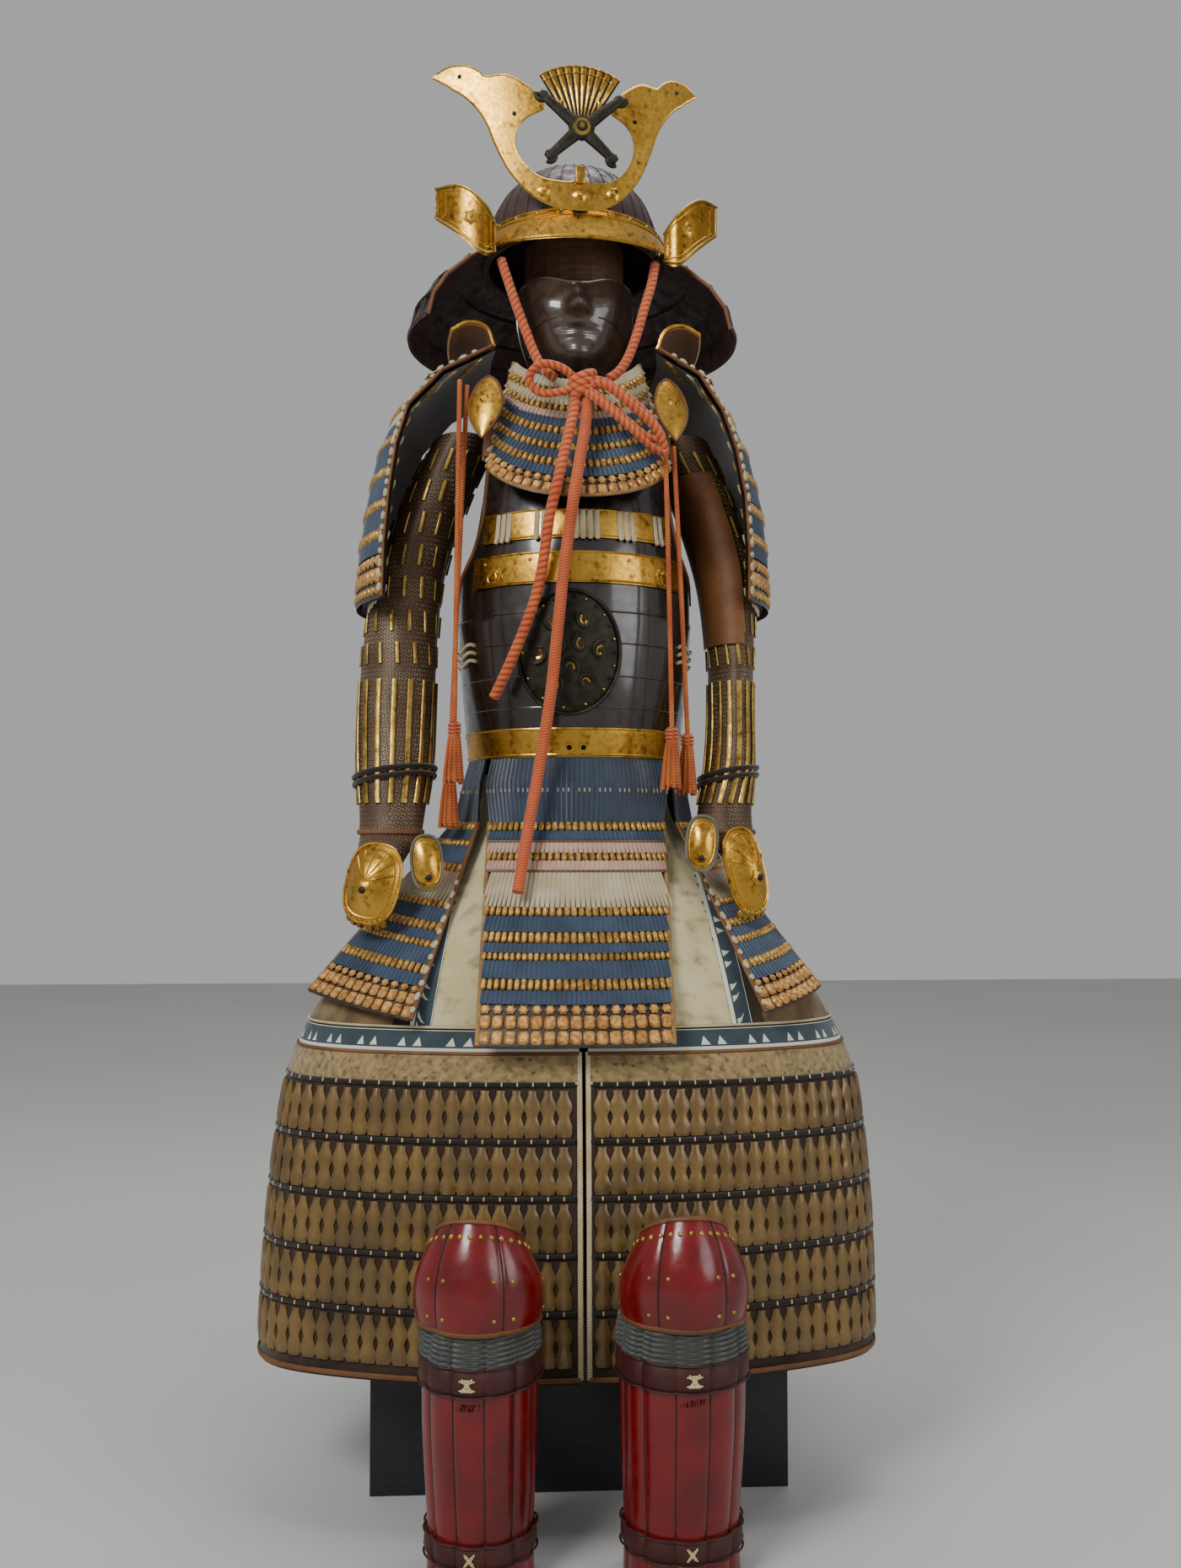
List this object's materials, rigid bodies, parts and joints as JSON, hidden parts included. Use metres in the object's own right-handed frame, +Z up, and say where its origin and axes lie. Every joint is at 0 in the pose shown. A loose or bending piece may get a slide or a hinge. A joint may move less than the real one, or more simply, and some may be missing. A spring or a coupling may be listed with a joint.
{
  "type": "samurai armour on an armour chest",
  "caption": "Laced lamellar armour with horned helmet, half mask, cuirass, skirt, sleeves, thigh and shin guards, standing on a plain stand and armour chest.",
  "frame": {"origin": "middle of the underside of the armour chest, on the floor", "axes": "+Z up, the armour faces -Y, +X to the right of someone who looks at its front"},
  "size_m": [0.731, 0.6514, 1.731],
  "materials": {
    "wood_black": "black-painted wood",
    "wood_plain": "plain oiled wood",
    "lacquer_brown": "dark brown lacquer on iron, semi-gloss",
    "lacquer_red": "deep red lacquer on iron, gloss",
    "russet": "russet-brown lacquered iron",
    "gilt": "gilt copper, worn satin",
    "blackened": "blackened iron",
    "laced": "navy and cream silk lacing over lacquered lames",
    "mail_cloth": "hemp cloth covered in brown mail",
    "leather": "leather and laced leather plates",
    "cord": "orange silk cord"
  },
  "bodies": {
    "root": {"helmet_bowl": "russet", "helmet_peak": "gilt", "neck_guard": "russet", "turnback_left": "gilt", "turnback_right": "gilt", "crest_horns": "gilt", "crest_socket": "blackened", "crest_fan": "gilt", "crest_brace": "blackened", "chest_body": "wood_black", "chest_lid": "wood_black", "inner_stand": "wood_plain", "cuirass_front": "lacquer_brown", "cuirass_back": "lacquer_brown", "breast_lame": "gilt", "ring_band": "gilt", "waist_band_front": "gilt", "waist_band_back": "gilt", "breast_relief": "blackened", "shoulder_strap_left": "leather", "leaf_plate_left": "gilt", "shoulder_strap_right": "leather", "leaf_plate_right": "gilt", "face_mask": "russet", "throat_guard": "laced", "shoulder_guard_left": "laced", "shoulder_guard_right": "laced", "sleeve_left": "mail_cloth", "sleeve_right": "mail_cloth", "hand_plate_left": "gilt", "hand_plate_right": "gilt", "thumb_plate_left": "gilt", "thumb_plate_right": "gilt", "skirt_front": "laced", "skirt_front_right": "laced", "skirt_side_right": "laced", "skirt_back_right": "laced", "skirt_back_left": "laced", "skirt_side_left": "laced", "skirt_front_left": "laced", "thigh_guard_left": "leather", "thigh_guard_right": "leather", "shin_guard_left": "lacquer_red", "knee_guard_left": "lacquer_red", "shin_guard_right": "lacquer_red", "knee_guard_right": "lacquer_red", "chin_cord_left": "cord", "chin_cord_right": "cord", "chin_cord_end_short": "cord", "chin_cord_end_long": "cord", "chin_knot": "cord", "side_cord_left_front": "cord", "tassel_left_front": "cord", "side_cord_left_back": "cord", "tassel_left_back": "cord", "side_cord_right_inner": "cord", "tassel_right_inner": "cord", "side_cord_right_outer": "cord", "tassel_right_outer": "cord"}
  },
  "joints": []
}
